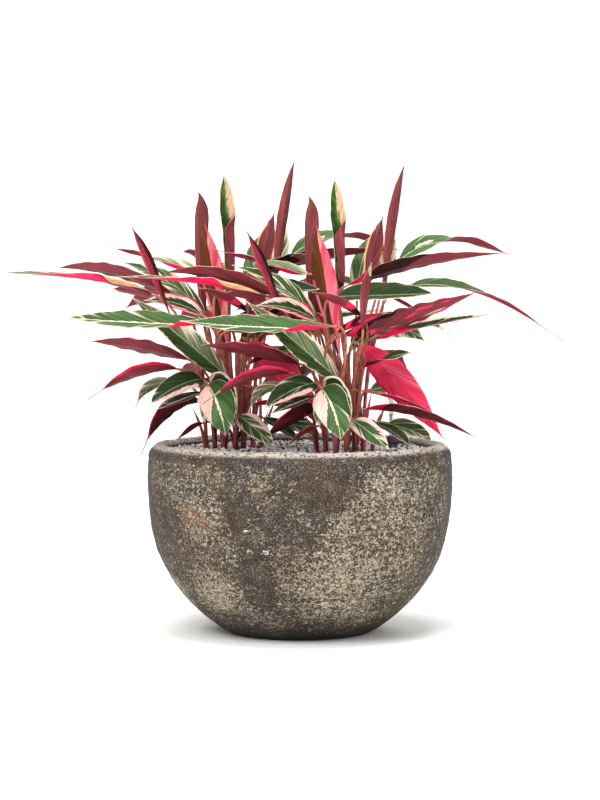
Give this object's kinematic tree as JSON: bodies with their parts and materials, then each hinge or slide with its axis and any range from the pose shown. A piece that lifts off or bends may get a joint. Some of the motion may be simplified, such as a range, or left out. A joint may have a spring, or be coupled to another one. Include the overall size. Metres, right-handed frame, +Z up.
{
  "type": "potted plant",
  "caption": "Houseplant with long variegated, burgundy-backed leaves in a rough round ceramic bowl with a stick water gauge.",
  "frame": {"origin": "centre of the bowl's flat foot, where it stands on the floor", "axes": "+Z up along the bowl's axis, -Y towards the front, +X to the right as seen from the front"},
  "size_m": [0.6839, 0.3894, 0.5842],
  "materials": {
    "bowl": "matte",
    "soil": "matte",
    "granules": "matte",
    "clear_plastic": "gloss",
    "yellow_plastic": "satin",
    "dark_plastic": "satin",
    "stems": "satin",
    "leaf_green": "satin",
    "leaf_dark_green": "satin",
    "leaf_burgundy": "satin",
    "leaf_crimson": "satin",
    "leaf_pink": "satin"
  },
  "bodies": {
    "root": {"gauge_float": "yellow_plastic", "gauge_socket": "dark_plastic", "gauge_tube": "clear_plastic", "leaf_left_arching_right": "leaf_green", "leaf_left_back_left": "leaf_green", "leaf_left_back_right": "leaf_green", "leaf_left_bright_midrise": "leaf_crimson", "leaf_left_broad_green": "leaf_dark_green", "leaf_left_crimson_fall": "leaf_crimson", "leaf_left_dark_left": "leaf_burgundy", "leaf_left_diagonal_green": "leaf_green", "leaf_left_front_broad": "leaf_green", "leaf_left_left_burgundy": "leaf_burgundy", "leaf_left_left_front": "leaf_dark_green", "leaf_left_left_pink_edge": "leaf_burgundy", "leaf_left_long_dark": "leaf_burgundy", "leaf_left_long_fall": "leaf_burgundy", "leaf_left_long_green": "leaf_green", "leaf_left_longest_left": "leaf_pink", "leaf_left_low_burgundy": "leaf_burgundy", "leaf_left_low_striped": "leaf_green", "leaf_left_over_lip": "leaf_burgundy", "leaf_left_rolled_pink": "leaf_pink", "leaf_left_spike_right": "leaf_burgundy", "leaf_left_striped_right": "leaf_dark_green", "leaf_left_tall_broad": "leaf_burgundy", "leaf_left_tall_curl": "leaf_burgundy", "leaf_left_upper_striped": "leaf_green", "leaf_left_upright_split": "leaf_green", "leaf_right_arching_right": "leaf_green", "leaf_right_back_left": "leaf_green", "leaf_right_back_right": "leaf_green", "leaf_right_bright_midrise": "leaf_crimson", "leaf_right_broad_green": "leaf_dark_green", "leaf_right_crimson_fall": "leaf_crimson", "leaf_right_dark_left": "leaf_burgundy", "leaf_right_diagonal_green": "leaf_green", "leaf_right_front_broad": "leaf_green", "leaf_right_left_burgundy": "leaf_burgundy", "leaf_right_left_front": "leaf_dark_green", "leaf_right_left_pink_edge": "leaf_burgundy", "leaf_right_long_dark": "leaf_burgundy", "leaf_right_long_fall": "leaf_burgundy", "leaf_right_long_green": "leaf_green", "leaf_right_longest_left": "leaf_pink", "leaf_right_low_burgundy": "leaf_burgundy", "leaf_right_low_dark": "leaf_burgundy", "leaf_right_low_striped": "leaf_green", "leaf_right_rolled_pink": "leaf_pink", "leaf_right_spike_right": "leaf_burgundy", "leaf_right_striped_right": "leaf_dark_green", "leaf_right_tall_broad": "leaf_burgundy", "leaf_right_tall_curl": "leaf_burgundy", "leaf_right_upper_striped": "leaf_green", "leaf_right_upright_split": "leaf_green", "planter_bowl": "bowl", "stem_clump_left": "stems", "stem_clump_right": "stems", "substrate": "soil", "top_granules": "granules"}
  },
  "joints": []
}
